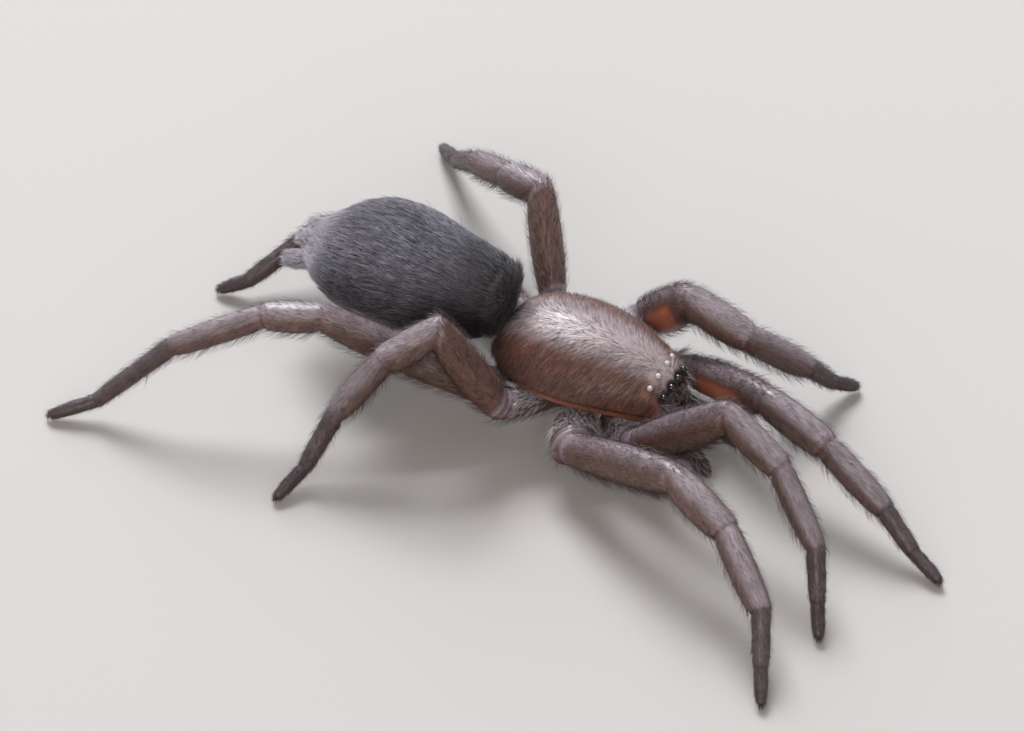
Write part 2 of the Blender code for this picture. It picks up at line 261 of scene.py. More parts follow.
def shield_ring(at):
    """Dome, turned rim, soft strip and belly plate at one place along the body."""
    wide, top, rim, low = (read_table(SHIELD_RINGS, at, column) for column in (1, 2, 3, 4))
    plate = PLATE_HALF * min(1.0, wide / PLATE_FULL_WIDTH)
    groove = GROOVE_DEPTH * math.exp(-((at - GROOVE_AT) / GROOVE_LENGTH) ** 2)
    half = []
    for step in range(DOME_STEPS):
        angle = math.pi / 2 * (1 - step / (DOME_STEPS - 1))
        side = wide * math.cos(angle) ** SIDE_POWER
        sunk = groove * math.exp(-(side / GROOVE_WIDTH) ** 2)
        ray = RAY_DEPTH * math.cos(RAY_COUNT * math.atan2(side, at - GROOVE_AT))
        ray *= math.sin(angle) ** 2 * math.cos(angle)
        half.append((side, rim + (top - rim) * math.sin(angle) ** TOP_POWER - sunk + ray, math.sin(angle)))
    half[0] = (0.0, top - groove, 1.0)
    half[-1] = (wide, rim + 0.02, 0.02)
    half += [(wide - inward, rim - down, rounded) for inward, down, rounded in RIM_STEPS]
    under = rim - RIM_STEPS[-1][1]
    half += [(plate + PLATE_LIP, max(under - PLATE_LIP, low + PLATE_LEAST), -0.6),
             (plate, low + (under - low) * PLATE_EDGE, -0.75), (plate * PLATE_FLAT, low + PLATE_CURVE, -0.9)]
    row = [(side, up, rounded) for side, up, rounded in half] + [(0.0, low, -1.0)]
    row += [(-side, up, rounded) for side, up, rounded in reversed(half[1:])]
    ring = []
    for side, up, rounded in row:
        outward = math.tanh(LIE_TURN * side / wide)
        flow = (BACKWARD * LIE_BACK + Vector((-outward, 0.0, -LIE_DOWN * abs(outward)))).normalized()
        ring.append((spot(at, side, up), at, rounded, side / wide, flow))
    return ring


def from_eyes(place, row):
    """Millimetres from each place to the nearest lens of one row of eyes."""
    gaps = []
    for name, (forward, right, up, radius) in EYES.items():
        if row in name:
            for way in (-1, 1):
                centre = np.array(spot(forward, right * way, up))
                gaps.append(np.linalg.norm(place - centre, axis=1) / MM - radius)
    return np.min(gaps, axis=0)


def shield_tones(values):
    """Brown shell, greyer on top with a painted sheen, a dark rim, orange soft skin under it and black round
    the eyes.
    """
    at, rounded, place = values["along"], values["round"], values["place"]
    shade = mixed(DARK_FLANK, BROWN_SHELL, step_up(rounded, 0.1, 0.55))
    # Painted sheen: the top of the dome is greyer where the light falls on it
    shade = mixed(shade, GREY_SHEEN_TOP, step_up(rounded, 0.8, 1.0) * 0.9)
    shade = mixed(shade, RIM_LINE, step_up(-np.abs(rounded), -0.06, -0.02))
    belly = np.maximum(step_up(-rounded, 0.5, 0.7), 1 - step_up(at, -1.4, -0.6))
    shade = np.where((rounded < -0.05)[:, None], mixed(ORANGE_SKIN, BELLY_BROWN, belly), shade)
    height = place[:, 2] / MM
    shade = mixed(shade, RED_FACE, step_up(at, 1.66, 1.76) * step_up(-height, -1.86, -1.76))
    shade = mixed(shade, EYE_PATCH, 1 - step_up(from_eyes(place, "front"), 0.06, 0.13))
    return mixed(shade, EYE_PATCH, 0.6 - 0.6 * step_up(from_eyes(place, "hind"), 0.0, 0.03))


def along_body(table, count):
    """Places for rings, closer together towards both ends."""
    start, end = table[0][0], table[-1][0]
    shares = [0.5 - 0.5 * math.cos(math.pi * step / (count - 1)) for step in range(count)]
    return [start + (end - start) * share for share in shares]


shield = toned_piece("shield_skin", loft([shield_ring(at) for at in along_body(SHIELD_RINGS, SHIELD_STEPS)]),
                     cuticle, shield_tones)

# Hind body: a soft, stretched skin bag, blue-black and blackest in front where it overhangs the
# shield. Short hair hides nearly all of it, so the skin only shows as the dark between the hairs.
HIND_RINGS = (
    (-6.31, 0.30, 0.26, 2.13),
    (-6.27, 0.48, 0.42, 2.15),
    (-6.10, 0.74, 0.64, 2.20),
    (-5.78, 1.01, 0.87, 2.30),
    (-5.20, 1.27, 1.07, 2.40),
    (-4.30, 1.33, 1.12, 2.43),
    (-3.30, 1.14, 0.98, 2.46),
    (-2.62, 0.96, 0.84, 2.52),
    (-2.20, 0.79, 0.68, 2.57),
    (-2.02, 0.61, 0.52, 2.60),
    (-1.97, 0.36, 0.30, 2.60),
)
HIND_STEPS, HIND_SIDES = 56, 64
ACROSS_POWER, RISE_POWER = 0.92, 0.96
FOLD_DEPTH, FOLD_RATE, HIND_ASIDE = 0.004, 17, 0.07
SLATE_SKIN, FRONT_BLACK = tone("#262022"), tone("#0f0908")

# Velvet skin of the hind body, nearly matt: gives depth between the hairs
velvet_skin = shell_material("hind_body_skin", rough=0.62, mottle=0.1, grain=0.04, depth=0.003, specular=0.3)


def hind_ring(at):
    """One ring of the hind body, a little squarer than an ellipse and faintly folded."""
    wide, high, middle = (read_table(HIND_RINGS, at, column) for column in (1, 2, 3))
    aside = HIND_ASIDE * step_up(at, -4.6, -2.9)
    ring = []
    for side in range(HIND_SIDES):
        angle = math.pi * (0.5 - 2 * side / HIND_SIDES)
        across = math.copysign(abs(math.cos(angle)) ** ACROSS_POWER, math.cos(angle))
        rise = math.copysign(abs(math.sin(angle)) ** RISE_POWER, math.sin(angle))
        fold = 1 + FOLD_DEPTH * math.sin(at * FOLD_RATE + math.sin(angle * 3))
        place = spot(at, aside + wide * across * fold, middle + high * rise * fold)
        ring.append((place, at, rise, across, BACKWARD))
    return ring


def front_dark(values):
    """How black the hind body is: most at the front end, its own colour, and deeper on its lower half as
    painted shade, less on top.
    """
    at, rounded = values["along"], values["round"]
    forward = at + 0.5 * step_up(-rounded, -0.8, 0.1)
    return step_up(forward, -3.6, -2.5) * (0.8 + 0.2 * step_up(-rounded, -0.8, 0.0))


hind = toned_piece("hind_skin", loft([hind_ring(at) for at in along_body(HIND_RINGS, HIND_STEPS)]),
                   velvet_skin, lambda values: mixed(SLATE_SKIN, FRONT_BLACK, front_dark(values)))
skin_pieces = [shield, hind]

# Legs: eight tubes of the same cuticle, each of hip, thigh, knee piece, shin and foot. They narrow
# at each joint, where softer reddish skin lets the pieces fold on one another.
HIP_ROOT = {1: (0.76, 0.74, 0.90), 2: (-0.10, 0.70, 0.98), 3: (-0.80, 0.68, 0.94), 4: (-1.52, 0.54, 0.94)}
LEG_JOINTS = {
    ("right", 1): ((1.45, 1.30, 1.10), (3.52, 1.22, 2.90), (4.80, 1.54, 2.34), (6.04, 2.42, 1.45),
                   (6.36, 2.95, 0.56), (6.66, 3.50, 0.14)),
    ("left", 1): ((1.50, -1.20, 1.06), (3.60, -0.40, 1.90), (5.10, -0.05, 1.60), (6.65, 0.46, 0.98),
                  (7.44, 0.76, 0.42), (8.18, 1.03, 0.14)),
    ("right", 2): ((0.38, 1.92, 1.12), (3.05, 2.66, 2.22), (4.38, 3.12, 1.82), (5.74, 4.28, 1.26),
                   (6.10, 5.00, 0.52), (6.40, 5.60, 0.14)),
    ("left", 2): ((0.08, -1.98, 1.14), (1.22, -1.76, 2.42), (2.57, -1.63, 2.10), (3.67, -2.29, 1.12),
                  (4.04, -2.72, 0.48), (4.40, -3.14, 0.14)),
    ("right", 3): ((-1.40, 1.70, 1.36), (-2.64, 1.98, 3.13), (-3.48, 2.67, 2.56), (-4.14, 3.53, 1.49),
                   (-4.47, 4.25, 0.46), (-4.74, 5.05, 0.14)),
    ("left", 3): ((-1.78, -1.56, 1.28), (-2.84, -3.02, 2.62), (-3.78, -3.38, 2.35), (-4.90, -4.10, 1.60),
                  (-5.72, -4.85, 0.62), (-6.40, -5.50, 0.14)),
    ("right", 4): ((-2.02, 1.32, 1.20), (-5.04, 2.34, 2.76), (-6.16, 2.76, 2.67), (-7.80, 3.71, 1.89),
                   (-9.12, 4.56, 0.48), (-9.96, 5.10, 0.14)),
    ("left", 4): ((-2.22, -1.16, 0.98), (-4.25, -1.86, 1.32), (-5.30, -1.92, 1.42), (-7.02, -1.26, 1.28),
                  (-8.02, 0.10, 0.44), (-8.60, 0.37, 0.14)),
}
# Half width and half depth at the root, middle and end of hip, thigh, knee piece, shin and two
# foot pieces. The second legs' hips are wider, and one knee piece and shin are slimmer.
LEG_SIZES = (
    ((0.24, 0.27), (0.30, 0.31), (0.29, 0.33)),
    ((0.28, 0.345), (0.345, 0.43), (0.30, 0.345)),
    ((0.30, 0.335), (0.345, 0.355), (0.30, 0.31)),
    ((0.265, 0.28), (0.28, 0.285), (0.225, 0.235)),
    ((0.20, 0.205), (0.18, 0.18), (0.155, 0.15)),
    ((0.14, 0.14), (0.14, 0.135), (0.10, 0.105)),
)
WIDE_HIP = ((0.31, 0.31), (0.385, 0.355), (0.385, 0.385))
LEG_SCALE = {1: 1.0, 2: 1.04, 3: 0.96, 4: 0.92}
FIRST_FOOT_PIECE = 4
SLIM_PIECES, SLIM_SCALE = {("right", 1, 2), ("right", 1, 3)}, 0.92
LEG_SHARES = (0.0, 0.025, 0.05, 0.075, 0.10, 0.16, 0.25, 0.36, 0.48, 0.6, 0.7, 0.78,
              0.825, 0.85, 0.875, 0.90, 0.925, 0.95, 0.975)
LEG_SIDES = 24
PINCH = (0.05, 0.07, 0.09, 0.08, 0.07, 0.04)
PINCH_LENGTH, FOLD_EVERY = 0.07, 0.1
HIP_SUNK, TOE_SHORT, FOLD_HEIGHT = 0.22, 0.09, 0.07
TIP_ROUND = ((1.0, 0.0), (0.86, 0.35), (0.6, 0.75), (0.28, 0.97))
RED_SKIN, PALE_SKIN, LILAC_FOLD = tone("#7c3a30"), tone("#a8979a"), tone("#8a808b")
# How red each joint is, and the place along the leg and breadth of the two pale rings
JOINT_RED, JOINT_BREADTH = {1: 0.25, 2: 0.6, 3: 0.35, 4: 0.2}, 0.035
PALE_RINGS = ((2.97, 0.03), (1.965, 0.025))
# Tones on top, on the sides and below for each piece: the paler top is partly a painted sheen, the darker
# brown below a painted shade with warm bounce light
LEG_TOP_SHEEN, LEG_SIDE, LEG_LOW_SHADE = ([tone(code) for code in codes.split()] for codes in (
    "#81747a #7f7278 #958a91 #887d83 #62565a #4f4448",
    "#634b45 #624a43 #6a514b #644b45 #4e3a37 #423431",
    "#52382f #53372d #573a31 #53372e #422c26 #3a2823"))
THIRD_THIGH, THIGH_BLACK, BLACK_SHARE = tone("#5f4035"), tone("#231716"), {1: 0.45, 2: 0.85}
AMBER_FACE, AMBER_EDGE = tone("#b26e54"), tone("#7c4b3b")


def swell(sizes, share):
    """Half width and half depth a share of the way along a piece."""
    root, middle, end = sizes
    bulge = math.sin(share * math.pi)
    if share < 0.5:
        return tuple(low + (high - low) * bulge for low, high in zip(root, middle))
    return tuple(low + (high - low) * (1 - bulge) for low, high in zip(middle, end))


def fold_rings(along):
    """Folds of soft skin round the end of the hip: 1 on their crests and 0 away from them."""
    wave = 0.5 + 0.5 * np.cos((along - 0.85) * 2 * np.pi / FOLD_EVERY)
    return wave * step_up(along, 0.78, 0.84) * (1 - step_up(along, 1.06, 1.11))


def limb_rings(joints, sizes, pinch, sides, way_front=1.0, rounded_tip=0.07, folds=0.0):
    """Rings along a jointed limb, each joint's ring standing half way round its bend."""
    points = [spot(*joint) for joint in joints]
    ways = [(end - start).normalized() for start, end in zip(points, points[1:])]
    cuts = [ways[0]] + [(a + b).normalized() for a, b in zip(ways, ways[1:])] + [ways[-1]]
    last = len(ways) - 1

    def ring_at(index, share, shrink=1.0, push=0.0):
        way, length = ways[index], (points[index + 1] - points[index]).length
        across = way.cross(Vector((0, 0, 1))).normalized()
        rise = across.cross(way)
        wide, deep = swell(sizes[index], share)
        root_pinch = pinch[index] if index else 0.0
        tip_pinch = pinch[index + 1] if index < last else 0.0
        waist = 1 - root_pinch * math.exp(-(share / PINCH_LENGTH) ** 2)
        waist -= tip_pinch * math.exp(-((1 - share) / PINCH_LENGTH) ** 2)
        size = (waist + folds * fold_rings(index + share)) * shrink * MM
        ring = []
        for side in range(sides):
            angle = math.pi * (0.5 - 2 * side / sides)
            offset = across * (math.cos(angle) * wide * size) + rise * (math.sin(angle) * deep * size)
            start = -offset.dot(cuts[index]) / way.dot(cuts[index])
            stop = length - offset.dot(cuts[index + 1]) / way.dot(cuts[index + 1])
            place = points[index] + offset + way * (start + (stop - start) * share + push)
            place.z = max(place.z, 0.0)
            ring.append((place, index + share, math.sin(angle), math.cos(angle) * way_front, way))
        return ring

    rings = [ring_at(index, share) for index in range(len(ways)) for share in LEG_SHARES]
    return rings + [ring_at(last, 1.0, shrink, push * rounded_tip * MM) for shrink, push in TIP_ROUND]


def amber_share(values, number):
    """Where the front face of the first two thighs is bare and amber."""
    along = values["along"]
    face = step_up(values["front"], 0.05, 0.5) * step_up(-values["round"], -0.75, -0.25)
    return face * step_up(along, 1.08, 1.2) * (1 - step_up(along, 1.62, 1.85)) * (number < 3)


def leg_base(along, rounded, number, side, front):
    """Lilac-grey above, partly own colour and partly a painted sheen; browner below, a painted shade with
    warm bounce light; third thighs brown all round, and front left ones dark-rooted.
    """
    piece = np.clip(along.astype(int), 0, 5)
    share = (step_up(along - piece, 0.93, 1.0) * 0.5)[:, None]
    following = np.clip(piece + 1, 0, 5)
    sheen_tops, sides, shaded_lows = (np.array(rows)[piece] * (1 - share) + np.array(rows)[following] * share
                         for rows in (LEG_TOP_SHEEN, LEG_SIDE, LEG_LOW_SHADE))
    shade = mixed(shaded_lows, sides, step_up(rounded, -0.8, 0.0))
    shade = mixed(shade, sheen_tops, step_up(rounded, 0.4, 1.0))
    thigh = (along > 1.0) & (along < 1.95)
    if number == 3:
        shade = mixed(shade, THIRD_THIGH, thigh * 0.85)
    if number < 3 and side == "left":
        root = thigh * (1 - step_up(along, 1.35, 1.6)) * step_up(-front, -0.6, 0.2)
        shade = mixed(shade, THIGH_BLACK, root * BLACK_SHARE[number])
    return shade


def leg_tones(values, number, side):
    """The base tones, amber faces on the front thighs, pale knee rings and reddish skin in the folds."""
    along, rounded = values["along"], values["round"]
    shade = leg_base(along, rounded, number, side, values["front"])
    amber = amber_share(values, number)
    shade = mixed(shade, AMBER_EDGE, step_up(amber, 0.0, 0.5))
    shade = mixed(shade, AMBER_FACE, step_up(amber, 0.4, 1.0))
    for joint, amount in JOINT_RED.items():
        near = np.exp(-((along - joint) / JOINT_BREADTH) ** 2) * (0.3 + 0.7 * step_up(-rounded, -0.6, 0.6))
        shade = mixed(shade, RED_SKIN, near * amount)
    ring = sum(np.exp(-((along - middle) / breadth) ** 2) for middle, breadth in PALE_RINGS)
    shade = mixed(shade, PALE_SKIN, ring * step_up(rounded, -0.2, 0.5) * 0.5)
    return mixed(shade, LILAC_FOLD, fold_rings(along) * 0.85 * step_up(rounded, -0.6, 0.0))


legs = {}
for (side, number), joints in LEG_JOINTS.items():
    out = 1 if side == "right" else -1
    forward, right, up = HIP_ROOT[number]
    hip = Vector((forward, right * out, up))
    inside = hip - (Vector(joints[0]) - hip).normalized() * HIP_SUNK
    sizes = []
    for index, piece in enumerate((WIDE_HIP if number == 2 else LEG_SIZES[0],) + LEG_SIZES[1:]):
        scale = LEG_SCALE[number] if index < FIRST_FOOT_PIECE else 1.0
        scale *= SLIM_SCALE if (side, number, index) in SLIM_PIECES else 1.0
        sizes.append([tuple(size * scale for size in pair) for pair in piece])
    ankle, toe = Vector(joints[-2]), Vector(joints[-1])
    toe -= (toe - ankle).normalized() * TOE_SHORT
    course = (tuple(inside),) + joints[:-1] + (tuple(toe),)
    rings = limb_rings(course, sizes, PINCH, LEG_SIDES, way_front=-out, folds=FOLD_HEIGHT)
    legs[(side, number)] = toned_piece(
        f"leg{number}_skin_{side}", loft(rings), cuticle,
        lambda values, number=number, side=side: leg_tones(values, number, side))
skin_pieces += legs.values()

# Jaws and feelers: a pair of stout dark jaws under the eyes and a pair of short feelers beside
# them, all of hard shell. They root inside the front of the head shield.
JAW_JOINTS = ((1.42, 0.25, 1.43), (2.12, 0.25, 0.98), (2.33, 0.21, 0.56))
JAW_SIZES = (((0.17, 0.22), (0.185, 0.24), (0.18, 0.23)), ((0.18, 0.23), (0.15, 0.19), (0.10, 0.13)))
FEELER_JOINTS = {
    "right": ((1.18, 0.45, 0.81), (2.08, 0.72, 1.00), (2.58, 0.76, 0.88), (2.81, 0.68, 0.42)),
    "left": ((1.18, -0.47, 0.83), (2.12, -0.66, 0.66), (2.55, -0.60, 0.50), (2.84, -0.48, 0.26)),
}
FEELER_SIZES = (((0.13, 0.13), (0.155, 0.155), (0.145, 0.145)),
                ((0.145, 0.145), (0.155, 0.155), (0.14, 0.14)),
                ((0.145, 0.145), (0.155, 0.155), (0.08, 0.085)))
SMALL_PINCH = (0.06, 0.12, 0.10)
SMALL_SIDES = 16
BOTH_SIDES = (("right", 1), ("left", -1))
JAW_BLACK, JAW_BROWN = tone("#1b100d"), tone("#3a2019")
FEELER_BROWN, FEELER_DARK = tone("#5b3f3a"), tone("#33231f")

# Hardened jaw shell, darker and glossier than the legs: gives small sharp highlights
jaw_shell = shell_material("jaw_shell", rough=0.3, mottle=0.1, grain=0.06, depth=0.003)

small_skins = {}
for side, out in BOTH_SIDES:
    jaw_course = [(forward, right * out, up) for forward, right, up in JAW_JOINTS]
    jaw = limb_rings(jaw_course, JAW_SIZES, SMALL_PINCH, SMALL_SIDES, way_front=-out)
    small_skins["jaw_" + side] = toned_piece(
        "jaw_skin_" + side, loft(jaw), jaw_shell,
        lambda values: mixed(JAW_BROWN, JAW_BLACK, step_up(values["along"], 0.3, 1.2)))
    feeler = limb_rings(FEELER_JOINTS[side], FEELER_SIZES, SMALL_PINCH, SMALL_SIDES, way_front=-out)
    small_skins["feeler_" + side] = toned_piece(
        "feeler_skin_" + side, loft(feeler), cuticle,
        lambda values: mixed(FEELER_BROWN, FEELER_DARK, step_up(values["along"], 0.8, 2.2)))

# Silk tubes and waist: three pale soft tubes behind the hind body, the outer pair longer and cut
# off blunt, and the thin stalk that joins the hind body to the shield.
SILK_SIZES = (((0.15, 0.15), (0.175, 0.17), (0.14, 0.14)),)
SILK_JOINTS = {
    "silk_right": ((-6.10, 0.30, 2.08), (-6.80, 0.48, 1.99)),
    "silk_left": ((-6.10, -0.30, 2.10), (-6.76, -0.56, 2.06)),
    "silk_middle": ((-6.20, 0.0, 2.17), (-6.72, 0.0, 2.20)),
}
WAIST_JOINTS, WAIST_SIZES = ((-1.95, 0.0, 1.54), (-2.60, 0.0, 1.72)), (((0.17, 0.09),) * 3,)
SILK_GREY, WAIST_BROWN = tone("#8a8389"), tone("#3c231c")
for name, joints in SILK_JOINTS.items():
    tube = limb_rings(joints, SILK_SIZES, SMALL_PINCH, SMALL_SIDES)
    small_skins[name] = toned_piece(name + "_skin", loft(tube), velvet_skin, lambda values: SILK_GREY)
stalk = limb_rings(WAIST_JOINTS, WAIST_SIZES, SMALL_PINCH, SMALL_SIDES)
small_skins["waist"] = toned_piece("waist_skin", loft(stalk), cuticle, lambda values: WAIST_BROWN)
skin_pieces += small_skins.values()

# Coat: short fine hair over every piece, lying back along the body and down the legs. The short
# hairs are straight closed needles and the longer ones bend over, and each has a tone of its own.
skin_order = [piece.name for piece in skin_pieces]
# The baking map: a tile of a square of tiles for each skin piece, and a small patch for each hair
TILES, TILE_EDGE = 5, 0.05
TUFT_PATCH = 0.003


def ground_of(piece):
    """Corners, normals and notes of a skin piece, for hair to grow from."""
    mesh = piece.data
    mesh.calc_loop_triangles()
    ground = {note: rows_of(mesh.attributes[note].data, "value", 1) for note in NOTES}
    ground["place"] = rows_of(mesh.vertices, "co")
    ground["normal"] = rows_of(mesh.vertices, "normal")
    ground["flow"] = rows_of(mesh.attributes["flow"].data, "vector")
    ground["triangles"] = rows_of(mesh.loop_triangles, "vertices", kind=np.int32)
    tile = skin_order.index(piece.name)
    down = (ground["along"] - ground["along"].min()) / float(np.ptp(ground["along"]))
    inner = 1 - 2 * TILE_EDGE
    ground["unwrap"] = np.stack([(tile % TILES + TILE_EDGE + inner * ground["turn"]) / TILES,
                                 (tile // TILES + TILE_EDGE + inner * down) / TILES], axis=1)
    return ground


def scatter(piece, count, seed, favour=None):
    """Roots spread evenly over a skin piece, or by how much favour gives each place."""
    ground = ground_of(piece)
    draw = np.random.default_rng(seed)
    triangles = ground["triangles"]
    corners = ground["place"][triangles]
    area = np.linalg.norm(np.cross(corners[:, 1] - corners[:, 0], corners[:, 2] - corners[:, 0]), axis=1)
    if favour is not None:
        middle = {note: ground[note][triangles].mean(axis=1) for note in ("along", "round", "front", "place")}
        area = area * favour(middle)
    chosen = triangles[draw.choice(len(area), size=count, p=area / area.sum())]
    first, second = draw.random(count), draw.random(count)
    over = first + second > 1
    first[over], second[over] = 1 - first[over], 1 - second[over]
    weight = np.stack([1 - first - second, first, second], axis=1)
    seat = {"draw": draw}
    for key in ("place", "normal", "flow"):
        seat[key] = (ground[key][chosen] * weight[:, :, None]).sum(axis=1)
    for key in ("along", "round", "front"):
        seat[key] = (ground[key][chosen] * weight).sum(axis=1)
    seat["unwrap"] = ground["unwrap"][chosen[np.arange(count), weight.argmax(axis=1)]]
    return seat


def chosen_roots(piece, places, seed):
    """Roots at chosen places of a skin piece, each given as along, round and front."""
    ground = ground_of(piece)
    rows = []
    for along, rounded, front in places:
        away = 4 * np.abs(ground["along"] - along) + np.abs(ground["round"] - rounded)
        rows.append(int(np.argmin(away + np.abs(ground["front"] - front))))
    seat = {key: values[rows] for key, values in ground.items() if key != "triangles"}
    seat["draw"] = np.random.default_rng(seed)
    return seat


def unit(rows):
    """Rows of arrows, each one long."""
    return rows / np.maximum(np.linalg.norm(rows, axis=1), 1e-12)[:, None]


# Corners of a bent hair: three at the root, three half way and the tip; a straight one has no middle
BENT = ((1, 0, 3), (1, 3, 4), (2, 1, 4), (2, 4, 5), (0, 2, 5),
        (0, 5, 3), (4, 3, 6), (5, 4, 6), (3, 5, 6), (0, 1, 2))
BENT_PATCH = ((0.0, 0.0), (1.0, 0.0), (0.5, 0.3), (0.0, 0.6), (1.0, 0.6), (0.5, 0.8), (0.5, 1.0))
STRAIGHT = ((1, 0, 3), (2, 1, 3), (0, 2, 3), (0, 1, 2))
STRAIGHT_PATCH = ((0.0, 0.0), (1.0, 0.0), (0.5, 0.3), (0.5, 1.0))
LEAST_HEIGHT = 2e-6
# How unlike hairs are in length and lift, how deep they root, and shares of the width of a hair
LENGTH_SPREAD, LENGTH_LIMITS, LIFT_SPREAD, ROOT_SUNK = 0.18, (0.5, 1.5), 4.0, 0.012
ROOT_HIGH, MIDDLE_HALF, MIDDLE_HIGH = 0.6, 0.38, 0.45


def hairs(name, seat, root_tone, tip_tone, slot, length, width, lift, droop=None, stray=0.22):
    """A coat of thin hairs. length and width are millimetres, lift and droop degrees, stray radians."""
    draw, count = seat["draw"], len(seat["place"])
    normal = unit(seat["normal"])
    lie = unit(seat["flow"] - normal * (seat["flow"] * normal).sum(axis=1)[:, None])
    side = np.cross(lie, normal)
    turned = draw.normal(0.0, stray, count)[:, None]
    lie, side = lie * np.cos(turned) + side * np.sin(turned), side * np.cos(turned) - lie * np.sin(turned)
    uneven = np.clip(draw.normal(1.0, LENGTH_SPREAD, count), *LENGTH_LIMITS)
    reach = (length * MM * uneven)[:, None]
    thick = width * MM
    rise = np.radians(lift + draw.normal(0.0, LIFT_SPREAD, count))[:, None]
    root = seat["place"] - normal * ROOT_SUNK * MM
    first = lie * np.cos(rise) + normal * np.sin(rise)
    rows = [root - side * thick / 2, root + side * thick / 2, root + normal * thick * ROOT_HIGH]
    tones = [root_tone] * 3
    if droop is None:
        faces, patch = STRAIGHT, STRAIGHT_PATCH
        rows.append(root + first * reach)
    else:
        faces, patch = BENT, BENT_PATCH
        fall = rise - math.radians(droop)
        middle = root + first * reach * 0.5
        half = side * thick * MIDDLE_HALF
        rows += [middle - half, middle + half, middle + normal * thick * MIDDLE_HIGH]
        rows.append(middle + (lie * np.cos(fall) + normal * np.sin(fall)) * reach * 0.5)
        tones += [(root_tone + tip_tone) / 2] * 3
    tones.append(tip_tone)
    each = len(rows)
    points = np.stack(rows, axis=1)
    points[:, :, 2] = np.maximum(points[:, :, 2], LEAST_HEIGHT)
    shades = np.ones((count, each, 4))
    for corner, colour in enumerate(tones):
        shades[:, corner, :3] = colour
    corners = (np.arange(count)[:, None, None] * each + np.array(faces)).reshape(-1)
    mesh = bpy.data.meshes.new(name)
    mesh.vertices.add(count * each)
    mesh.vertices.foreach_set("co", points.ravel())
    mesh.loops.add(len(corners))
    mesh.loops.foreach_set("vertex_index", corners.astype(np.int32))
    mesh.polygons.add(len(corners) // 3)
    mesh.polygons.foreach_set("loop_start", np.arange(0, len(corners), 3, dtype=np.int32))
    mesh.update(calc_edges=True)
    mesh.shade_smooth()
    mesh.attributes.new("tone", "FLOAT_COLOR", "POINT").data.foreach_set("color", shades.ravel())
    tuft = seat["unwrap"][:, None] + np.array(patch) * TUFT_PATCH
    mesh.uv_layers.new(name="OFBake").uv.foreach_set("vector", tuft.reshape(-1, 2)[corners].ravel())
    mesh.materials.append(velvet_hair if slot in ("hind", "silk") else silky_hair)
    coat = placed(name, mesh)
    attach(coat, "root")


def hair_material(name, rough, specular, sheen):
    """Solid hair that shows its own tone, with a soft cool sheen."""
    return painted_material(name, cloud_size=0.6, detail=2.0, amount=0.1, values={
        "Roughness": rough, "Specular IOR Level": specular, "Sheen Weight": sheen,
        "Sheen Roughness": 0.4, "Sheen Tint": tuple(tone("#e6dcf0")) + (1.0,)})[0]


STREAK_LEVELS, STREAK_STEPS = 4096, (73, 151, 283)


def streaks(seat, wide, long, seed):
    """One random level for each patch of hairs, a little wide across their lie and longer along it."""
    lie = unit(seat["flow"])
    level = unit(np.cross(lie, np.array((0.0, 0.0, 1.0))))
    steep = np.cross(level, lie)
    first, second, third = ((seat["place"] * way).sum(axis=1) / MM for way in (level, steep, lie))
    first, second = (np.floor(column / wide).astype(int) for column in (first, second))
    third = np.floor(third / long + (first * 7 + second * 3) % 10 / 10).astype(int)
    table = np.random.default_rng(seed).random(STREAK_LEVELS)
    return table[np.stack([first, second, third], axis=1) @ STREAK_STEPS % STREAK_LEVELS]


def shades_of(draw, count, dark, pale, share, spread=1.0, gather=1.6):
    """A tone for each hair between dark and pale; share is how far towards pale they are as a whole."""
    drawn = (draw.beta(gather, gather, count) - 0.5) * spread
    return mixed(dark, pale, np.clip(drawn + share, 0.0, 1.0))


# Keratin-like hair with a silky face: gives the silver sheen where it turns to the light
silky_hair = hair_material("silky_hair", rough=0.42, specular=0.55, sheen=0.06)
# The same hair with far more sheen: gives the soft pale edge that velvet has
velvet_hair = hair_material("velvet_hair", rough=0.45, specular=0.6, sheen=0.3)
# Each hair is a little darker at its root
ROOT_SHADE, SILKY_ROOT = 0.8, 0.85


def grow(name, skin, count, seed, favour, dark, pale, share, slot, root=ROOT_SHADE, **shape):
    """A coat of hairs of mixed tones over a skin piece."""
    seat = scatter(skin, count, seed, favour)
    shade = shades_of(seat["draw"], count, dark, pale, share)
    hairs(name, seat, shade * root, shade, slot, **shape)


# Velvet of the hind body: fine hairs laid straight back, black in front, slate on the flanks, paler along the
# back as a painted sheen and paler at the rear, a brush of pale hair round the silk tubes, and three
# bristles.
HIND_DARK, HIND_PALE, HIND_BLACK = tone("#181619"), tone("#a2a3b1"), tone("#0b0707")
SILK_PALE = tone("#bfbac1")
# How pale the velvet is: everywhere, more on the crest as a painted sheen, more at the rear, and more in
# streaks
PALE_ALL, PALE_CREST_SHEEN, PALE_REAR, PALE_STREAK = 0.01, 0.09, 0.46, 0.72
FRONT_SHARE, HIND_ROOT, HIND_TIP = 0.97, 0.45, 1.55
